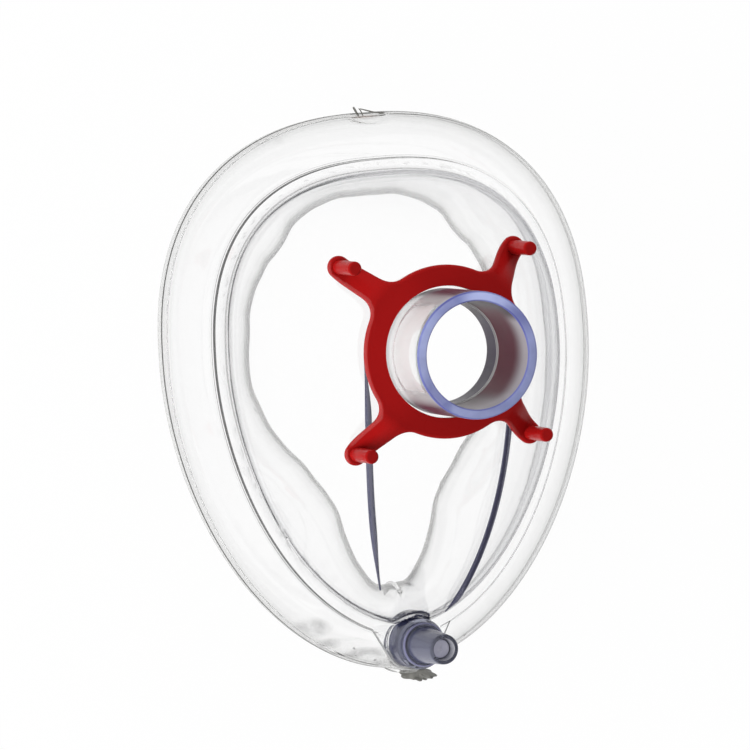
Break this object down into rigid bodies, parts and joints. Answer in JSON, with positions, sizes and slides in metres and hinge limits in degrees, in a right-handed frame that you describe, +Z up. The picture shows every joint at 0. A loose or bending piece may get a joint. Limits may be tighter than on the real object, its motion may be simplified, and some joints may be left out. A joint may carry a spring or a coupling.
{
  "type": "anaesthesia face mask",
  "caption": "Clear domed breathing mask with an inflatable cushion, a tapered 22 mm connector, a red hooked strap ring and a sprung inflation valve at the nose end.",
  "frame": {"origin": "on the surface the mask rests on, under the middle of the cushion's outline", "axes": "+Z up along the connector's axis, out of its mouth; +Y towards the chin end; -Y towards the nose end, where the valve stands; the face side is down"},
  "size_m": [0.0954, 0.12, 0.0675],
  "materials": {
    "clear_pvc": "clear gloss, slightly blue in thick places",
    "soft_clear_pvc": "soft clear film, gloss",
    "red_polypropylene": "smooth gloss red",
    "tinted_polycarbonate": "blue-violet, see-through",
    "plunger_plastic": "pale grey",
    "seal_rubber": "matt",
    "spring_steel": "bright wire"
  },
  "bodies": {
    "mask": {"shell": "clear_pvc", "cushion": "soft_clear_pvc", "valve_body": "tinted_polycarbonate", "valve_nozzle": "tinted_polycarbonate", "valve_spring": "spring_steel"},
    "strap_ring": {"hook_ring": "red_polypropylene"},
    "plunger": {"valve_plunger": "plunger_plastic", "valve_seal": "seal_rubber"}
  },
  "joints": [
    {"name": "ring_turn", "type": "hinge", "parent": "mask", "child": "strap_ring", "pos_m": [0, 0.01035, 0.0499], "axis": [0, 0, 1], "continuous": true},
    {"name": "plunger_press", "type": "slide", "parent": "mask", "child": "plunger", "axis": [0, 0, 1], "range_m": [-0.001, 0], "stiffness_N_per_m": 600, "springref_m": 0.001, "deforming": ["valve_spring"]}
  ]
}
